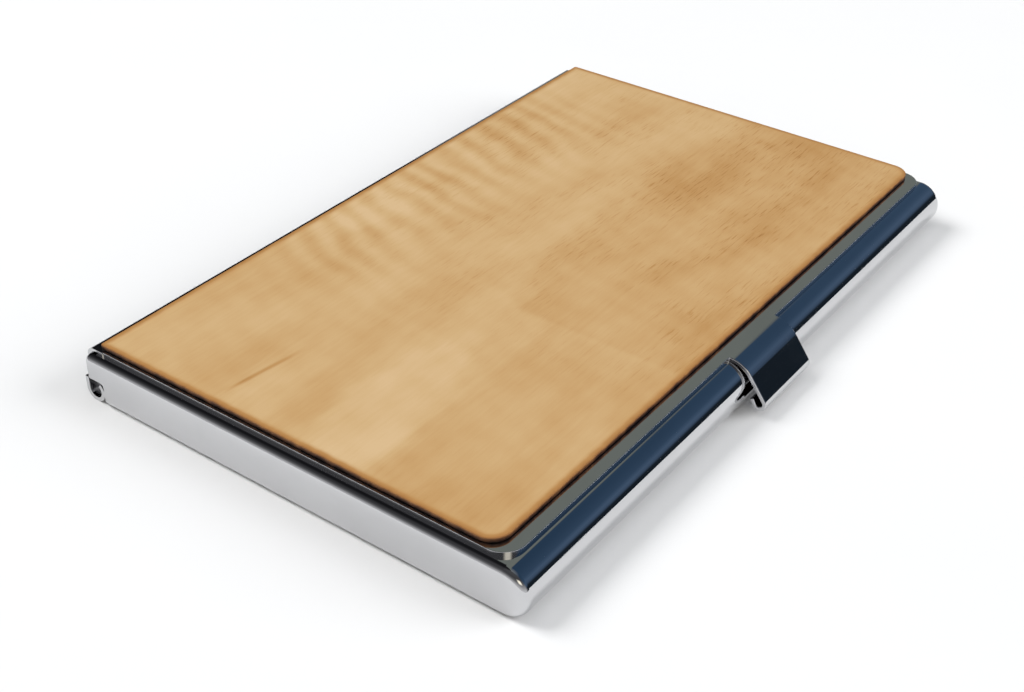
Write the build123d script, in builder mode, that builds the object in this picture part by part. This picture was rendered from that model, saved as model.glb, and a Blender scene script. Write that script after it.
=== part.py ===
from build123d import *
import math
import os

# Business card case: a polished sheet-metal case with a hinged lid and a thin maple panel on top.
# Frame: X along the length, -Y is the clasp side, +Y is the hinge side, +Z is up.
# The origin is under the middle of the closed case, on the surface it rests on. Millimetres.

# Sheet and overall sizes
sheet = 0.5
edge_break = 0.12
case_length = 92.8
body_height = 5.8
frame_back = 30.6
back_of_case = 30.8

# Case frame: end walls, half-round nose along the front, rim turned in at the top
nose_radius = body_height / 2
nose_y = -25.65
edge_round = 0.9
inner_round = edge_round - sheet
rim_x = 44.8
rim_front_y = -24.0
rim_back_y = 29.2
rim_corner = 2.0
corner_post_x = 45.6

# Floor plate and the welded seam round it
seam_x = 44.3
seam_front_y = -23.1
floor_back_y = 27.8

# Hinge along the bottom back edge
knuckle_outer = 1.4
knuckle_middle = knuckle_outer - sheet / 2
knuckle_wrap = 230
hinge_y = back_of_case - knuckle_outer
hinge_z = knuckle_outer
pin_radius = 0.85
pin_half_length = 45.0
body_knuckle_start = 12.2
body_knuckle_end = 29.8
knuckle_gap = 0.2
lid_knuckle_end = 46.2
leaf_top_z = 2.8
notch_front_y = 27.75
notch_top_z = 2.95
notch_round = 0.5

# Lid plate: its outline, its bend down to the spine, and the windows over the body knuckles.
# Its flat top sits a little off the middle, at lid_x.
lid_x = 0.35
lid_half_length = 45.65
lid_front_y = -25.8
lid_corner = 2.6
lid_edge_round = 0.05
lid_shoulder_y = 28.4
spine_half_length = 45.4
spine_window_z = 3.05
bend_middle = 0.8

# Clasp tab: flat over the rim, bent over the nose, sloping outwards, curled at its tip
tab_half_width = 5.2
tab_flare = 0.12
tab_bend_y = -25.95
tab_bend_middle = 3.2
tab_slope = 53
curl_center = (-29.9, 1.84)
curl_middle = 0.65
curl_wrap = 189
tab_lip = 0.7

# Maple panel and the adhesive film under it, both glued a little off the middle at panel_x
panel_length = 91.0
panel_width = 53.2
panel_x = 0.55
panel_y = 2.5
panel_corner = 2.3
panel_thickness = 0.5
panel_edge_break = 0.08
film_thickness = 0.1
film_inset = 0.6

# Places that follow from the sizes above
lid_bottom = body_height
lid_top = body_height + sheet
lid_middle = body_height + sheet / 2
bend_y = back_of_case - sheet / 2 - bend_middle
spine_y = back_of_case - sheet / 2
panel_bottom = lid_top + film_thickness
cut_back_y = back_of_case + sheet


def write(piece, name):
    """Label a finished piece and save it under its own name."""
    piece.label = name
    export_step(piece, f"parts/{name}.step")


def on_circle(center, radius, angle):
    """The point at an angle in degrees on a circle."""
    turn = math.radians(angle)
    return (center[0] + radius * math.cos(turn), center[1] + radius * math.sin(turn))


def draw_case_section(inset):
    """The case seen from its end: flat top, bottom and back, half-round nose in front."""
    back = frame_back - inset
    top = body_height - inset
    Line((nose_y, inset), (back, inset))
    Line((back, inset), (back, top))
    Line((back, top), (nose_y, top))
    CenterArc((nose_y, nose_radius), nose_radius - inset, 90, 180)


os.makedirs("parts", exist_ok=True)

# The space inside the case frame: its own outline, one sheet smaller all round.
with BuildPart() as hollow:
    with BuildSketch(Plane.YZ.offset(-case_length / 2 + sheet)):
        with BuildLine():
            draw_case_section(sheet)
        make_face()
    extrude(amount=case_length - 2 * sheet)
    fillet(hollow.faces().filter_by(Axis.X).edges(), inner_round)

# Case frame: a rounded block, hollowed, then opened at the top, bottom and back.
with BuildPart() as case_frame:
    with BuildSketch(Plane.YZ.offset(-case_length / 2)):
        with BuildLine():
            draw_case_section(0)
        make_face()
    extrude(amount=case_length)
    end_edges = case_frame.faces().filter_by(Axis.X).edges()
    back_edges = case_frame.faces().sort_by(Axis.Y)[-1].edges().filter_by(Axis.X)
    fillet(end_edges + back_edges, edge_round)
    add(hollow.part, mode=Mode.SUBTRACT)

    # Card window in the top: the rim is what stays round it.
    with BuildSketch(Plane.XY.offset(nose_radius)):
        with Locations((0, (rim_front_y + cut_back_y) / 2)):
            window = Rectangle(2 * rim_x, cut_back_y - rim_front_y)
        fillet(window.vertices().group_by(Axis.Y)[0], rim_corner)
    extrude(amount=body_height, mode=Mode.SUBTRACT)

    # Floor window: a narrow flange stays, and the floor plate is welded to its edge.
    with BuildSketch(Plane.XY.offset(-sheet)):
        with Locations((0, (seam_front_y + cut_back_y) / 2)):
            Rectangle(2 * seam_x, cut_back_y - seam_front_y)
    extrude(amount=nose_radius, mode=Mode.SUBTRACT)

    # Open back between the two corner posts, for the lid's spine.
    with BuildSketch(Plane.XY.offset(-sheet)):
        with Locations((0, (rim_back_y + cut_back_y) / 2)):
            Rectangle(2 * corner_post_x, cut_back_y - rim_back_y)
    extrude(amount=body_height + 2 * sheet, mode=Mode.SUBTRACT)

    # Notch through both end walls, round the rolled knuckle.
    with BuildSketch(Plane.YZ.offset(-case_length)):
        with Locations(((notch_front_y + cut_back_y) / 2, (notch_top_z - sheet) / 2)):
            notch = Rectangle(cut_back_y - notch_front_y, notch_top_z + sheet)
        fillet(notch.vertices().group_by(Axis.X)[0].sort_by(Axis.Y)[-1], notch_round)
    extrude(amount=2 * case_length, mode=Mode.SUBTRACT)
write(case_frame.part, "case_frame")

# Floor plate: flat between the flanges, its back edge rolled into two hinge knuckles.
with BuildPart() as floor_plate:
    with BuildSketch(Plane.XY):
        with Locations((0, (seam_front_y + floor_back_y) / 2)):
            Rectangle(2 * seam_x, floor_back_y - seam_front_y)
    extrude(amount=sheet)
    underside_edges = floor_plate.faces().sort_by(Axis.Z)[0].edges()
    chamfer(underside_edges.sort_by(Axis.Y)[:-1], edge_break)
    for knuckle_start in (-body_knuckle_end, body_knuckle_start):
        with BuildSketch(Plane.YZ.offset(knuckle_start)):
            with BuildLine():
                Line((floor_back_y - sheet, sheet / 2), (hinge_y, sheet / 2))
                CenterArc((hinge_y, hinge_z), knuckle_middle, 270, knuckle_wrap)
            trace(line_width=sheet)
        extrude(amount=body_knuckle_end - body_knuckle_start)
write(floor_plate.part, "floor_plate")

# Hinge pin: a plain wire, shorter than the hinge, so that each end is hidden in its knuckle.
with BuildPart() as hinge_pin:
    with BuildSketch(Plane.YZ.offset(-pin_half_length)):
        with Locations((hinge_y, hinge_z)):
            Circle(pin_radius)
    extrude(amount=2 * pin_half_length)
    chamfer(hinge_pin.faces().filter_by(Axis.X).edges(), edge_break)
write(hinge_pin.part, "hinge_pin")

# Clasp tab: an even strip that follows one bent line, its long edges slightly rounded.
with BuildPart() as clasp_tab:
    with BuildSketch(Plane.YZ.offset(-tab_half_width)):
        with BuildLine():
            bend_center = (tab_bend_y, lid_middle - tab_bend_middle)
            slope_start = on_circle(bend_center, tab_bend_middle, 90 + tab_slope)
            slope_end = on_circle(curl_center, curl_middle, 90 + tab_slope)
            curl_end = on_circle(curl_center, curl_middle, 90 + tab_slope + curl_wrap)
            lip_end = on_circle(curl_end, tab_lip, 180 + tab_slope + curl_wrap)
            Line((tab_bend_y + sheet, lid_middle), (tab_bend_y, lid_middle))
            CenterArc(bend_center, tab_bend_middle, 90, tab_slope)
            Line(slope_start, slope_end)
            CenterArc(curl_center, curl_middle, 90 + tab_slope, curl_wrap)
            Line(curl_end, lip_end)
        trace(line_width=sheet)
    extrude(amount=2 * tab_half_width)
    fillet(clasp_tab.faces().filter_by(Axis.X).edges(), edge_break)

# Lid plate: one sheet, with the tab in front and the spine and three knuckles at the back.
with BuildPart() as lid_plate:
    with BuildSketch(Plane.XY.offset(lid_bottom)) as lid_outline:
        with Locations((lid_x, (lid_front_y + lid_shoulder_y) / 2)):
            Rectangle(2 * lid_half_length, lid_shoulder_y - lid_front_y)
        with Locations((0, (lid_shoulder_y + bend_y) / 2)):
            Rectangle(2 * spine_half_length, bend_y - lid_shoulder_y)
        with Locations((0, (tab_bend_y + lid_front_y) / 2)):
            Rectangle(2 * tab_half_width, lid_front_y - tab_bend_y)
        front_row = lid_outline.vertices().group_by(Axis.Y)[1].sort_by(Axis.X)
        fillet([front_row[0], front_row[-1]], lid_corner)
        front_row = lid_outline.vertices().group_by(Axis.Y)[1].sort_by(Axis.X)
        fillet([front_row[1], front_row[-2]], tab_flare)
    extrude(amount=sheet)
    outline_edges = lid_plate.faces().sort_by(Axis.Z)[-1].edges().sort_by(Axis.Y)[1:-1]
    fillet(outline_edges, lid_edge_round)
    add(clasp_tab.part)

    # Bend and spine, down the back of the case.
    with BuildSketch(Plane.YZ.offset(-spine_half_length)):
        with BuildLine():
            CenterArc((bend_y, lid_middle - bend_middle), bend_middle, 0, 90)
            Line((spine_y, lid_middle - bend_middle), (spine_y, leaf_top_z))
        trace(line_width=sheet)
    extrude(amount=2 * spine_half_length)

    # Windows in the spine, over the body's two knuckles.
    with BuildSketch(Plane.XZ.offset(-cut_back_y)):
        window_start = body_knuckle_start - knuckle_gap
        window_end = body_knuckle_end + knuckle_gap
        with GridLocations(window_start + window_end, 1, 2, 1):
            Rectangle(window_end - window_start, 2 * spine_window_z)
    extrude(amount=cut_back_y - floor_back_y, mode=Mode.SUBTRACT)

    # Leaf and rolled knuckle, at each end and in the middle.
    for start, end in (
        (-lid_knuckle_end, -window_end),
        (-window_start, window_start),
        (window_end, lid_knuckle_end),
    ):
        with BuildSketch(Plane.YZ.offset(start)):
            with BuildLine():
                Line((spine_y, leaf_top_z), (spine_y, hinge_z))
                CenterArc((hinge_y, hinge_z), knuckle_middle, 0, -knuckle_wrap)
            trace(line_width=sheet)
        extrude(amount=end - start)
write(lid_plate.part, "lid_plate")

# Adhesive film: a little smaller than the panel that it holds.
with BuildPart() as adhesive_film:
    with BuildSketch(Plane.XY.offset(lid_top)):
        with Locations((panel_x, panel_y)):
            film = Rectangle(panel_length - 2 * film_inset, panel_width - 2 * film_inset)
        fillet(film.vertices().group_by(Axis.Y)[0], panel_corner - film_inset)
    extrude(amount=film_thickness)
write(adhesive_film.part, "adhesive_film")

# Maple panel: square at the back, rounded at the two front corners.
with BuildPart() as maple_panel:
    with BuildSketch(Plane.XY.offset(panel_bottom)):
        with Locations((panel_x, panel_y)):
            panel = Rectangle(panel_length, panel_width)
        fillet(panel.vertices().group_by(Axis.Y)[0], panel_corner)
    extrude(amount=panel_thickness)
    fillet(maple_panel.faces().sort_by(Axis.Z)[-1].edges(), panel_edge_break)
write(maple_panel.part, "maple_panel")
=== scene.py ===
# %% [markdown]
# A business card case in Blender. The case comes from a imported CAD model, in metres, with its hinge already
# built: a sheet-metal frame and floor, a hinged lid with a snap tab, and a thin maple panel glued on the lid.
# This script gives the metal its polish, makes the maple panel as a laser-cut piece of its own, and lights
# and frames the closed case on a pale table.

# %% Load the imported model
import math
import bpy
from mathutils import Matrix, Vector, noise


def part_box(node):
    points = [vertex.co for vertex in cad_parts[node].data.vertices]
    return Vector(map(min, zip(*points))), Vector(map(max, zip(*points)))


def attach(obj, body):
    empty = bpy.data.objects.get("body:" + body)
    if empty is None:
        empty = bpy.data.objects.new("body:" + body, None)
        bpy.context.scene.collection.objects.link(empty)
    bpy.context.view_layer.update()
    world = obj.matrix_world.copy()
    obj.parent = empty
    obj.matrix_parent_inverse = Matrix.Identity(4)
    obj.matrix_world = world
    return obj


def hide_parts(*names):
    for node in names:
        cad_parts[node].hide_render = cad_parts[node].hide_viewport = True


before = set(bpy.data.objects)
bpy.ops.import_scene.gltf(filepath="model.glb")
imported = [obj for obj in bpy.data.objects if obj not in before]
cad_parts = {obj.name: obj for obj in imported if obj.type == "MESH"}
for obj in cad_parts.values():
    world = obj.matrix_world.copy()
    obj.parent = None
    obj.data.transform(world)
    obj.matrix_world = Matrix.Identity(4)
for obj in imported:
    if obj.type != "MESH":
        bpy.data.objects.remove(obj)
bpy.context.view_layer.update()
MM = 0.001

# %% [markdown]
# The camera comes first, because every later choice is judged through it. It stands low over one end of the
# case and looks along it, so the near end wall, the round nose and the wood all show. A hand-held camera
# rarely aims at the exact middle of a thing, so the aim starts at the middle of the wood, and the camera is
# then slid a few millimetres in its own picture plane and rolled by a degree.

# %% Camera
panel_low, panel_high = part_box("maple_panel")
wood_middle = Vector(((panel_low.x + panel_high.x) / 2, (panel_low.y + panel_high.y) / 2, panel_high.z))
camera_azimuth = math.radians(-54.40)
camera_elevation = math.radians(34.57)
camera_roll = math.radians(0.948)
camera_distance = 181.2 * MM
slide_right = -3.98 * MM
slide_up = -11.59 * MM

camera_back = Vector((
    math.sin(camera_azimuth) * math.cos(camera_elevation),
    -math.cos(camera_azimuth) * math.cos(camera_elevation),
    math.sin(camera_elevation),
))
level_right = Vector((math.cos(camera_azimuth), math.sin(camera_azimuth), 0))
level_up = camera_back.cross(level_right)
camera_right = level_right * math.cos(camera_roll) + level_up * math.sin(camera_roll)
camera_up = camera_back.cross(camera_right)

camera = bpy.data.objects.new("camera", bpy.data.cameras.new("camera"))
camera.data.lens = 53.47
camera.data.sensor_width = 36
camera.data.clip_start = 0.005
camera.rotation_mode = "QUATERNION"
camera.rotation_quaternion = Matrix([camera_right, camera_up, camera_back]).transposed().to_quaternion()
slide = camera_right * slide_right + camera_up * slide_up
camera.location = wood_middle + camera_back * camera_distance + slide
bpy.context.scene.collection.objects.link(camera)
bpy.context.scene.camera = camera
print("camera at", [round(part / MM, 1) for part in camera.location], "mm")

# %% [markdown]
# Every finish below is a small graph of nodes. These helpers keep each graph readable: a number is set on its
# socket, the output of another node is linked to it, and lengths inside a material are in millimetres.

# %% Helpers for node graphs
def feed(tree, node, sockets):
    """Set each named socket to a number, or link it to another node's output."""
    for socket, value in sockets.items():
        if isinstance(value, bpy.types.NodeSocket):
            tree.links.new(value, node.inputs[socket])
        else:
            node.inputs[socket].default_value = value


def calc(tree, operation, *values):
    """One Math node."""
    node = tree.nodes.new("ShaderNodeMath")
    node.operation = operation
    feed(tree, node, dict(enumerate(values)))
    return node.outputs[0]


def rise(tree, value, start, end):
    """0 before start, 1 after end, and a smooth step between. With end below start it falls instead."""
    node = tree.nodes.new("ShaderNodeMapRange")
    node.interpolation_type = "SMOOTHSTEP"
    feed(tree, node, {"Value": value, "From Min": min(start, end), "From Max": max(start, end)})
    feed(tree, node, {"To Min": float(end < start), "To Max": float(end >= start)})
    return node.outputs["Result"]


def between(tree, value, start, full, fading, end):
    """Rises from start to full, and falls from fading to end."""
    return calc(tree, "MULTIPLY", rise(tree, value, start, full), rise(tree, value, end, fading))


def blend_colors(tree, factor, first, second):
    """The first colour where the factor is 0, and the second where it is 1."""
    node = tree.nodes.new("ShaderNodeMix")
    node.data_type = "RGBA"
    feed(tree, node, {0: factor, 6: first, 7: second})
    return node.outputs[2]


def color_steps(tree, value, steps):
    """A colour ramp through the given (place, colour) steps."""
    node = tree.nodes.new("ShaderNodeValToRGB")
    elements = node.color_ramp.elements
    while len(elements) < len(steps):
        elements.new(1)
    for element, (place, color) in zip(elements, steps):
        element.position = place
        element.color = color
    feed(tree, node, {"Fac": value})
    return node.outputs["Color"]


def shown(red, green, blue):
    """The colour to give a surface in full light, from the 0 to 255 values it should show on a screen."""
    light_on_surface = 1.17
    linear = [((part / 255 + 0.055) / 1.055) ** 2.4 / light_on_surface for part in (red, green, blue)]
    return (*linear, 1)


def new_material(name):
    """An empty finish: its material, its node tree and its shader."""
    material = bpy.data.materials.new(name)
    material.use_nodes = True
    return material, material.node_tree, material.node_tree.nodes["Principled BSDF"]


def place_in_mm(tree, origin):
    """Where a point of the surface is, in millimetres, counted from the origin given."""
    mapping = tree.nodes.new("ShaderNodeMapping")
    coordinates = tree.nodes.new("ShaderNodeTexCoord").outputs["Object"]
    feed(tree, mapping, {"Vector": coordinates, "Location": origin / -MM, "Scale": (1 / MM, 1 / MM, 1 / MM)})
    return mapping.outputs[0]


def stretched(tree, place, scale, turn=0):
    """The place turned about Z by an angle in degrees and scaled: a small scale draws a pattern out."""
    mapping = tree.nodes.new("ShaderNodeMapping")
    feed(tree, mapping, {"Vector": place, "Scale": scale, "Rotation": (0, 0, math.radians(turn))})
    return mapping.outputs[0]


def mottle(tree, place, scale, detail=3.0, distortion=0.0):
    """Soft noise with features of about 1 / scale millimetres."""
    node = tree.nodes.new("ShaderNodeTexNoise")
    feed(tree, node, {"Vector": place, "Scale": scale, "Detail": detail, "Distortion": distortion})
    return node.outputs["Fac"]


def relief(tree, shader, height, depth):
    """Bump the surface by a height between 0 and 1, with its depth in millimetres."""
    node = tree.nodes.new("ShaderNodeBump")
    feed(tree, node, {"Height": height, "Distance": depth * MM, "Strength": 1.0})
    tree.links.new(node.outputs[0], shader.inputs["Normal"])


def finish_node(name, material):
    """Give a CAD node its finish, on the slots it came with."""
    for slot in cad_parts[name].material_slots:
        slot.material = material
    print(name, "is finished in", material.name)


# %% [markdown]
# The case is pressed from stainless sheet and polished until it works as a mirror, so it has hardly any
# colour of its own: what shows in it is the table and the room. A perfect mirror looks artificial, though.
# Handling leaves faint smudges that blur the mirror in soft patches, and a cloth leaves hair-fine scratches
# along and across the case. Both go into the roughness, and the scratches also into a very shallow relief.

# %% Polished steel
def hairlines(tree, place, turn, thinness):
    """Hair-fine lines: noise drawn out along one direction and cut off near its peaks."""
    drawn_out = stretched(tree, place, (0.05, thinness, thinness), turn)
    return rise(tree, mottle(tree, drawn_out, 1.0, detail=2.0), 0.62, 0.72)


def make_polished_steel(name, smooth, smudged):
    """Mirror steel whose roughness wanders from smooth to smudged."""
    material, tree, shader = new_material(name)
    place = place_in_mm(tree, Vector((0, 0, 0)))
    smudges = rise(tree, mottle(tree, place, 0.11, detail=4.0, distortion=0.6), 0.42, 0.75)
    lines = calc(tree, "MAXIMUM", hairlines(tree, place, 6, 9.0), hairlines(tree, place, 74, 7.0))
    tint = blend_colors(tree, smudges, (0.61, 0.613, 0.625, 1), (0.575, 0.578, 0.59, 1))
    blur = calc(tree, "MULTIPLY_ADD", smudges, smudged - smooth, smooth)
    blur_and_lines = calc(tree, "MULTIPLY_ADD", lines, 0.05, blur)
    feed(tree, shader, {"Base Color": tint, "Roughness": blur_and_lines, "Metallic": 1.0})
    relief(tree, shader, lines, -0.0004)
    return material


polished_steel = make_polished_steel("polished_steel", smooth=0.035, smudged=0.11)
for node_name in ("case_frame", "floor_plate", "lid_plate"):
    finish_node(node_name, polished_steel)

# %% [markdown]
# The hinge pin is plain drawn wire. It was pulled through a die, so its fine lines all run along it. It can
# only be seen in the gaps between the knuckles, and it is duller and darker than the sheet around it.

# %% Drawn wire
def make_pin_steel():
    """Wire with draw lines along X."""
    material, tree, shader = new_material("pin_steel")
    place = place_in_mm(tree, Vector((0, 0, 0)))
    draw_lines = mottle(tree, stretched(tree, place, (0.15, 12.0, 12.0)), 1.0, detail=4.0)
    tint = blend_colors(tree, draw_lines, (0.36, 0.36, 0.37, 1), (0.56, 0.56, 0.57, 1))
    blur = calc(tree, "MULTIPLY_ADD", draw_lines, 0.2, 0.22)
    feed(tree, shader, {"Base Color": tint, "Roughness": blur, "Metallic": 1.0})
    relief(tree, shader, draw_lines, 0.004)
    return material


finish_node("hinge_pin", make_pin_steel())

# %% [markdown]
# The film that holds the wood is thin, clear and yellowish. Only its cut edge shows, as a dark line under the
# wood, so it is painted near-black brown as painted shade for the gap under the wood, with sooty blotches.

# %% Adhesive film
def make_shaded_adhesive():
    """Film painted near-black as painted shade under the wood, with sooty blotches."""
    material, tree, shader = new_material("adhesive")
    place = place_in_mm(tree, wood_middle)
    soot = rise(tree, mottle(tree, place, 0.8, detail=4.0), 0.35, 0.65)
    # Both tones are near-black brown: painted shade under the wood, varied by the sooty blotches.
    tint = blend_colors(tree, soot, (0.06, 0.045, 0.03, 1), (0.018, 0.013, 0.01, 1))
    feed(tree, shader, {"Base Color": tint, "Roughness": calc(tree, "MULTIPLY_ADD", soot, 0.3, 0.35)})
    return material


finish_node("adhesive_film", make_shaded_adhesive())

# %% [markdown]
# The maple panel is cut from thin board by a laser. The beam rounds the upper edge a little, leaves the cut
# faintly ridged, and scorches the wood: black-brown down the cut, and golden for a millimetre in from it.
# A plain slab can't carry that, so the panel is made here as rings of points: from the underside up the cut,
# round the edge, and inwards over the top. Each ring also stores how scorched the wood is there.

# %% Outline of the panel
front_corner = 2.3 * MM
rear_corner = 0.35 * MM
tightest_corner = 0.1 * MM
point_spacing = 0.3 * MM
arc_points = 14


def panel_outline(inset):
    """Points round the panel, moved inwards by an inset, with the same number of points at every inset."""
    left, right = panel_low.x + inset, panel_high.x - inset
    front, rear = panel_low.y + inset, panel_high.y - inset
    front_radius = max(front_corner - inset, tightest_corner)
    rear_radius = max(rear_corner - inset, tightest_corner)
    corners = (
        (right - front_radius, front + front_radius, front_radius, -90),
        (right - rear_radius, rear - rear_radius, rear_radius, 0),
        (left + rear_radius, rear - rear_radius, rear_radius, 90),
        (left + front_radius, front + front_radius, front_radius, 180),
    )
    sides = (panel_high.y - panel_low.y, panel_high.x - panel_low.x) * 2
    arcs = []
    for x, y, radius, first_angle in corners:
        angles = [math.radians(first_angle + 90 * step / arc_points) for step in range(arc_points + 1)]
        arcs.append([Vector((x + radius * math.cos(a), y + radius * math.sin(a), 0)) for a in angles])
    points = []
    for arc, next_arc, side in zip(arcs, arcs[1:] + arcs[:1], sides):
        run_points = round(side / point_spacing)
        points += arc
        points += [arc[-1].lerp(next_arc[0], step / run_points) for step in range(1, run_points)]
    return points


print(len(panel_outline(0)), "points in each ring of the panel")

# %% Rings of the panel
panel_thickness = panel_high.z - panel_low.z
edge_rounding = 0.09 * MM
scorch_reach = 1.3 * MM
ridge_depth = 0.014 * MM
fine_ridge = 0.5 * MM
broad_ridge = 4 * MM
ridge_fade = 0.2 * MM


def panel_rings():
    """Each ring as its inset, its height and its scorch: 1 is black, 0.5 is brown, 0 is clean wood."""
    for share in (0, 0.12, 0.3, 0.48, 0.66):
        yield 0, panel_low.z + share * panel_thickness, 1 - 0.45 * share
    for angle in (0, 30, 60, 90):
        turn = math.radians(angle)
        height = panel_high.z - edge_rounding + edge_rounding * math.sin(turn)
        yield edge_rounding * (1 - math.cos(turn)), height, 0.62 - 0.14 * math.sin(turn)
    for inset in (0.2, 0.35, 0.5, 0.7, 0.95, 1.3, 2.0):
        left_of_scorch = max(1 - inset * MM / scorch_reach, 0)
        yield inset * MM, panel_high.z, 0.5 * left_of_scorch ** 2


def cut_ridge(point):
    """How far the cut stands in or out at a place on the outline."""
    return ridge_depth * (noise.noise(point / fine_ridge) + noise.noise(point / broad_ridge))


# %% Maple panel
vertices = []
faces = []
scorch = []
ridges = [cut_ridge(point) for point in panel_outline(0)]
middle = Vector((wood_middle.x, wood_middle.y, 0))
for inset, height, burnt in panel_rings():
    ridge_share = max(1 - inset / ridge_fade, 0)
    for point, ridge in zip(panel_outline(inset + 2 * ridge_depth * ridge_share), ridges):
        inwards = (middle - point).normalized()
        vertices.append(point + inwards * ridge * ridge_share + Vector((0, 0, height)))
        scorch.append(burnt)

ring_size = len(ridges)
ring_count = len(vertices) // ring_size
for ring in range(ring_count - 1):
    for step in range(ring_size):
        here = ring * ring_size + step
        beside = ring * ring_size + (step + 1) % ring_size
        faces.append((here, beside, beside + ring_size, here + ring_size))
faces.append(tuple(range(ring_size - 1, -1, -1)))
faces.append(tuple(range(len(vertices) - ring_size, len(vertices))))

panel_mesh = bpy.data.meshes.new("maple_board")
panel_mesh.from_pydata(vertices, [], faces)
panel_mesh.attributes.new("scorch", "FLOAT", "POINT").data.foreach_set("value", scorch)
panel_mesh.shade_smooth()
maple_board = bpy.data.objects.new("maple_board", panel_mesh)
bpy.context.scene.collection.objects.link(maple_board)
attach(maple_board, "lid")
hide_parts("maple_panel")
print("maple board has", len(panel_mesh.polygons), "faces")

# %% [markdown]
# Maple is pale and close-grained, so its figure is a matter of small differences in one honey colour. From
# large to small it has: a darker strip along the front, with a straight border where the grain turns over, a
# brown mineral streak, cloudy patches, curly ripples that cross the grain near the rear edge, and short fine
# flecks along the grain. Each of them adds to one darkness value, and a ramp of wood tones turns that value
# into colour. All places are in millimetres from the middle of the panel, with X along the grain.

# %% Figure of the maple: strips, streak and patches
def strips_and_streak(tree, x, y, wander):
    """The darker front strip with its second step, the darker far front, and the mineral streak."""
    front_strip = calc(tree, "MULTIPLY", rise(tree, y, -9.9, -10.25), rise(tree, x, -6, -16))
    second_strip = calc(tree, "MULTIPLY", rise(tree, y, -4.7, -5.3), between(tree, x, -13, -12, -7, 1))
    far_front = calc(tree, "MULTIPLY", rise(tree, y, 2, -12), rise(tree, x, -16, 2))
    slope = calc(tree, "MULTIPLY_ADD", x, 0.125, y)
    bent = calc(tree, "MULTIPLY_ADD", wander, 0.5, -4.42)
    off_streak = calc(tree, "ABSOLUTE", calc(tree, "ADD", slope, bent))
    streak = calc(tree, "MULTIPLY", rise(tree, off_streak, 0.5, 0.05), between(tree, x, -44, -41, -38, -31))
    total = 0.0
    for feature, amount in ((front_strip, 0.1), (second_strip, 0.14), (far_front, 0.2), (streak, 0.5)):
        total = calc(tree, "MULTIPLY_ADD", feature, amount, total)
    return total


def patch(tree, x, y, center, half_size, wander):
    """A cloudy patch: 1 at its centre, and 0 outside its wandering rim."""
    across = calc(tree, "DIVIDE", calc(tree, "SUBTRACT", x, center[0]), half_size[0])
    along = calc(tree, "DIVIDE", calc(tree, "SUBTRACT", y, center[1]), half_size[1])
    squares = calc(tree, "ADD", calc(tree, "POWER", across, 2.0), calc(tree, "POWER", along, 2.0))
    return rise(tree, calc(tree, "ADD", squares, wander), 1.6, 0.1)


def patches(tree, x, y, wander):
    """Two darker patches towards the far front, and two paler ones, by the near end and the rear."""
    total = 0.0
    for center, half_size, amount in (
        ((28, -5), (12, 5), 0.22),
        ((43, -13), (6, 4), 0.12),
        ((-37, -5), (12, 5), -0.26),
        ((-4, 23), (7, 5), -0.2),
    ):
        total = calc(tree, "MULTIPLY_ADD", patch(tree, x, y, center, half_size, wander), amount, total)
    return total


# %% Figure of the maple: ripples and flecks
def ripples(tree, place, x, y):
    """Curly figure: wandering bands about 4 mm apart that cross the grain, strongest along the rear."""
    node = tree.nodes.new("ShaderNodeTexWave")
    slanted = stretched(tree, place, (1, 1, 1), turn=14)
    feed(tree, node, {"Vector": slanted, "Scale": 0.082})
    feed(tree, node, {"Distortion": 7.0, "Detail": 2.5, "Detail Scale": 0.7})
    strength = calc(tree, "MULTIPLY", rise(tree, y, 6, 22), between(tree, x, -26, -12, 24, 40))
    strength = calc(tree, "MULTIPLY_ADD", strength, 0.8, 0.12)
    return calc(tree, "MULTIPLY", calc(tree, "SUBTRACT", node.outputs["Fac"], 0.5), strength)


def flecks(tree, place, x):
    """Short fine dashes along the grain, more of them towards the far end."""
    dashes = mottle(tree, stretched(tree, place, (0.36, 4.6, 1)), 1.0, detail=3.5)
    clumps = mottle(tree, stretched(tree, place, (0.07, 0.16, 1)), 1.0, detail=2.0)
    strength = calc(tree, "MULTIPLY", rise(tree, x, -34, 8), rise(tree, clumps, 0.36, 0.6))
    amount = calc(tree, "MULTIPLY_ADD", strength, 0.85, 0.15)
    return calc(tree, "MULTIPLY", rise(tree, dashes, 0.52, 0.7), amount)


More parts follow.
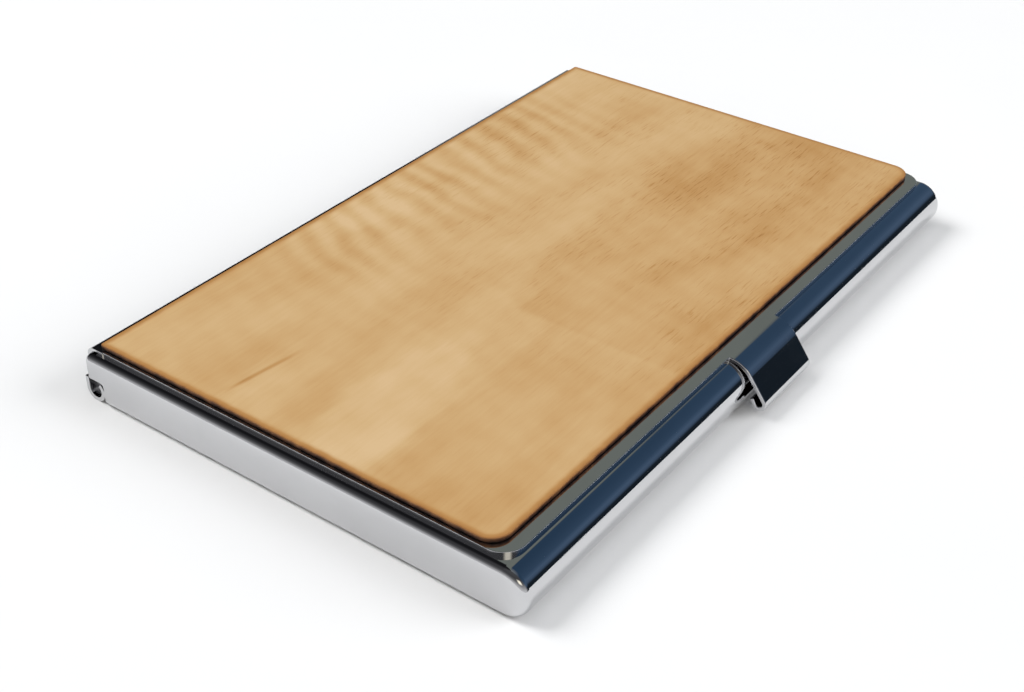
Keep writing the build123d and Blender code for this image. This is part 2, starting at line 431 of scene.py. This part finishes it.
# %% Maple
def make_maple():
    """Figured maple with scorched edges."""
    material, tree, shader = new_material("maple")
    place = place_in_mm(tree, wood_middle)
    split = tree.nodes.new("ShaderNodeSeparateXYZ")
    feed(tree, split, {"Vector": place})
    x, y = split.outputs["X"], split.outputs["Y"]

    cloud_noise = mottle(tree, stretched(tree, place, (0.06, 0.14, 1)), 1.0, detail=5.0)
    grain_noise = mottle(tree, stretched(tree, place, (0.12, 2.2, 1)), 1.0, detail=4.0)
    clouds = calc(tree, "SUBTRACT", cloud_noise, 0.5)
    grain = calc(tree, "SUBTRACT", grain_noise, 0.5)
    fine_flecks = flecks(tree, place, x)
    darkness = calc(tree, "MULTIPLY_ADD", clouds, 1.1, 0.39)
    darkness = calc(tree, "MULTIPLY_ADD", grain, 0.22, darkness)
    darkness = calc(tree, "ADD", darkness, strips_and_streak(tree, x, y, clouds))
    darkness = calc(tree, "ADD", darkness, patches(tree, x, y, calc(tree, "MULTIPLY", clouds, 3.0)))
    darkness = calc(tree, "MULTIPLY_ADD", ripples(tree, place, x, y), 0.42, darkness)
    darkness = calc(tree, "MULTIPLY_ADD", fine_flecks, 0.3, darkness)
    wood = color_steps(tree, darkness, (
        (0.0, shown(219, 187, 142)),
        (0.3, shown(211, 176, 127)),
        (0.6, shown(202, 162, 110)),
        (0.85, shown(190, 145, 90)),
        (1.0, shown(170, 122, 70)),
    ))

    stored = tree.nodes.new("ShaderNodeAttribute")
    stored.attribute_name = "scorch"
    blotches = calc(tree, "SUBTRACT", mottle(tree, place, 0.7, detail=4.0), 0.5)
    burnt = calc(tree, "MULTIPLY", stored.outputs["Fac"], calc(tree, "MULTIPLY_ADD", blotches, 0.9, 1.0))
    char = color_steps(tree, burnt, (
        (0.05, shown(196, 150, 93)),
        (0.3, shown(180, 131, 77)),
        (0.48, shown(163, 114, 66)),
        (0.62, shown(134, 91, 55)),
        (0.8, shown(88, 57, 39)),
        (1.0, shown(40, 27, 21)),
    ))
    surface = blend_colors(tree, rise(tree, burnt, 0.0, 0.22), wood, char)
    blur = calc(tree, "MULTIPLY_ADD", fine_flecks, 0.12, calc(tree, "MULTIPLY_ADD", grain, 0.15, 0.5))
    feed(tree, shader, {"Base Color": surface, "Roughness": blur, "Specular IOR Level": 0.3})
    relief(tree, shader, calc(tree, "ADD", calc(tree, "MULTIPLY", grain, 0.5), fine_flecks), -0.012)
    return material


maple_board.data.materials.append(make_maple())
print("maple has", len(maple_board.data.materials[0].node_tree.nodes), "nodes")

# %% [markdown]
# The table is plain and pale, and far larger than the case, so that its edge never shows in the metal.

# %% Table
floor_half = 2.5
table_mesh = bpy.data.meshes.new("table")
table_corners = [
    (-floor_half, -floor_half, 0),
    (floor_half, -floor_half, 0),
    (floor_half, floor_half, 0),
    (-floor_half, floor_half, 0),
]
table_mesh.from_pydata(table_corners, [], [(0, 1, 2, 3)])
table = bpy.data.objects.new("table", table_mesh)
bpy.context.scene.collection.objects.link(table)
table_finish, table_tree, table_shader = new_material("pale_table")
table_grey = mottle(table_tree, place_in_mm(table_tree, Vector((0, 0, 0))), 0.02, detail=2.0)
table_tint = blend_colors(table_tree, table_grey, (0.80, 0.80, 0.80, 1), (0.83, 0.83, 0.83, 1))
feed(table_tree, table_shader, {"Base Color": table_tint, "Roughness": 0.9, "Specular IOR Level": 0.0})
table_mesh.materials.append(table_finish)
print("table is", 2 * floor_half, "m wide")

# %% [markdown]
# Polished metal shows the room, so the room is designed like another piece. Beyond the far end it is a dark
# blue evening window: lighter low down, with a dark sill right above the table. Turning from there to the
# hinge side comes a dim grey-green wall and then a dark doorway. The other walls are pale low down and dark
# higher up. All of it is set by direction: the angle round the table, counted from +X towards +Y, and the
# angle above it. One small warm glow, above the near front corner, makes the bright point on the rounded
# corner.

# %% Room
def make_room():
    """The room, as colours by direction. The camera itself sees a white backdrop."""
    room = bpy.data.worlds.new("room")
    room.use_nodes = True
    tree = room.node_tree
    split = tree.nodes.new("ShaderNodeSeparateXYZ")
    feed(tree, split, {"Vector": tree.nodes.new("ShaderNodeTexCoord").outputs["Generated"]})
    around = calc(tree, "DEGREES", calc(tree, "ARCTAN2", split.outputs["Y"], split.outputs["X"]))
    above = calc(tree, "DEGREES", calc(tree, "ARCSINE", split.outputs["Z"]))

    window = color_steps(tree, calc(tree, "DIVIDE", above, 90.0), (
        (0.0, (0.011, 0.018, 0.026, 1)),
        (0.12, (0.012, 0.018, 0.026, 1)),
        (0.20, (0.066, 0.108, 0.180, 1)),
        (0.27, (0.078, 0.130, 0.215, 1)),
        (0.38, (0.044, 0.084, 0.148, 1)),
        (0.60, (0.028, 0.060, 0.112, 1)),
        (0.90, (0.20, 0.22, 0.24, 1)),
    ))
    walls = color_steps(tree, calc(tree, "DIVIDE", above, 90.0), (
        (0.0, (0.80, 0.80, 0.81, 1)),
        (0.17, (0.44, 0.44, 0.45, 1)),
        (0.33, (0.17, 0.17, 0.175, 1)),
        (0.50, (0.07, 0.07, 0.075, 1)),
        (0.90, (0.09, 0.09, 0.095, 1)),
    ))
    dim_wall = between(tree, around, 12, 18, 38, 46)
    doorway = between(tree, around, 38, 46, 80, 150)
    colors = blend_colors(tree, between(tree, around, -100, -70, 12, 18), walls, window)
    colors = blend_colors(tree, dim_wall, colors, (0.20, 0.22, 0.20, 1))
    colors = blend_colors(tree, doorway, colors, (0.012, 0.012, 0.014, 1))
    glow_around = between(tree, around, -148, -130, -121, -103)
    glow_above = between(tree, above, 22, 32, 39, 49)
    glow = calc(tree, "MULTIPLY", glow_around, glow_above)
    colors = blend_colors(tree, glow, colors, (1.6, 1.5, 1.25, 1))
    for_camera = tree.nodes.new("ShaderNodeLightPath").outputs["Is Camera Ray"]
    colors = blend_colors(tree, for_camera, colors, (0.95, 0.95, 0.95, 1))
    feed(tree, tree.nodes["Background"], {"Color": colors, "Strength": 1.0})
    return room


bpy.context.scene.world = make_room()
print("room has", len(bpy.context.scene.world.node_tree.nodes), "nodes")

# %% [markdown]
# The light is soft. A wide lamp high behind the hinge lays the shadow out in front of the nose, and two more,
# overhead and in front, fill it. They aren't let into the mirror, where they would burn a white stripe along
# every edge.

# %% Lamps
def add_lamp(name, direction, distance, size, power):
    """A round lamp in a direction from the case, turned to face it."""
    lamp = bpy.data.objects.new(name, bpy.data.lights.new(name, "AREA"))
    lamp.data.shape = "DISK"
    lamp.data.size = size
    lamp.data.energy = power
    lamp.location = Vector(direction).normalized() * distance
    lamp.rotation_euler = Vector(direction).to_track_quat("Z", "Y").to_euler()
    lamp.visible_glossy = False
    bpy.context.scene.collection.objects.link(lamp)
    print(name, "at", [round(part, 2) for part in lamp.location], "m,", power, "W")


add_lamp("rear_lamp", (-0.25, 0.58, 0.75), 1.3, 0.7, 12.0)
add_lamp("overhead_lamp", (-0.2, -0.15, 1.0), 1.5, 1.6, 7.6)
add_lamp("front_lamp", (0.45, -0.8, 0.5), 1.2, 0.9, 10.8)
bpy.context.scene.view_settings.view_transform = "Standard"
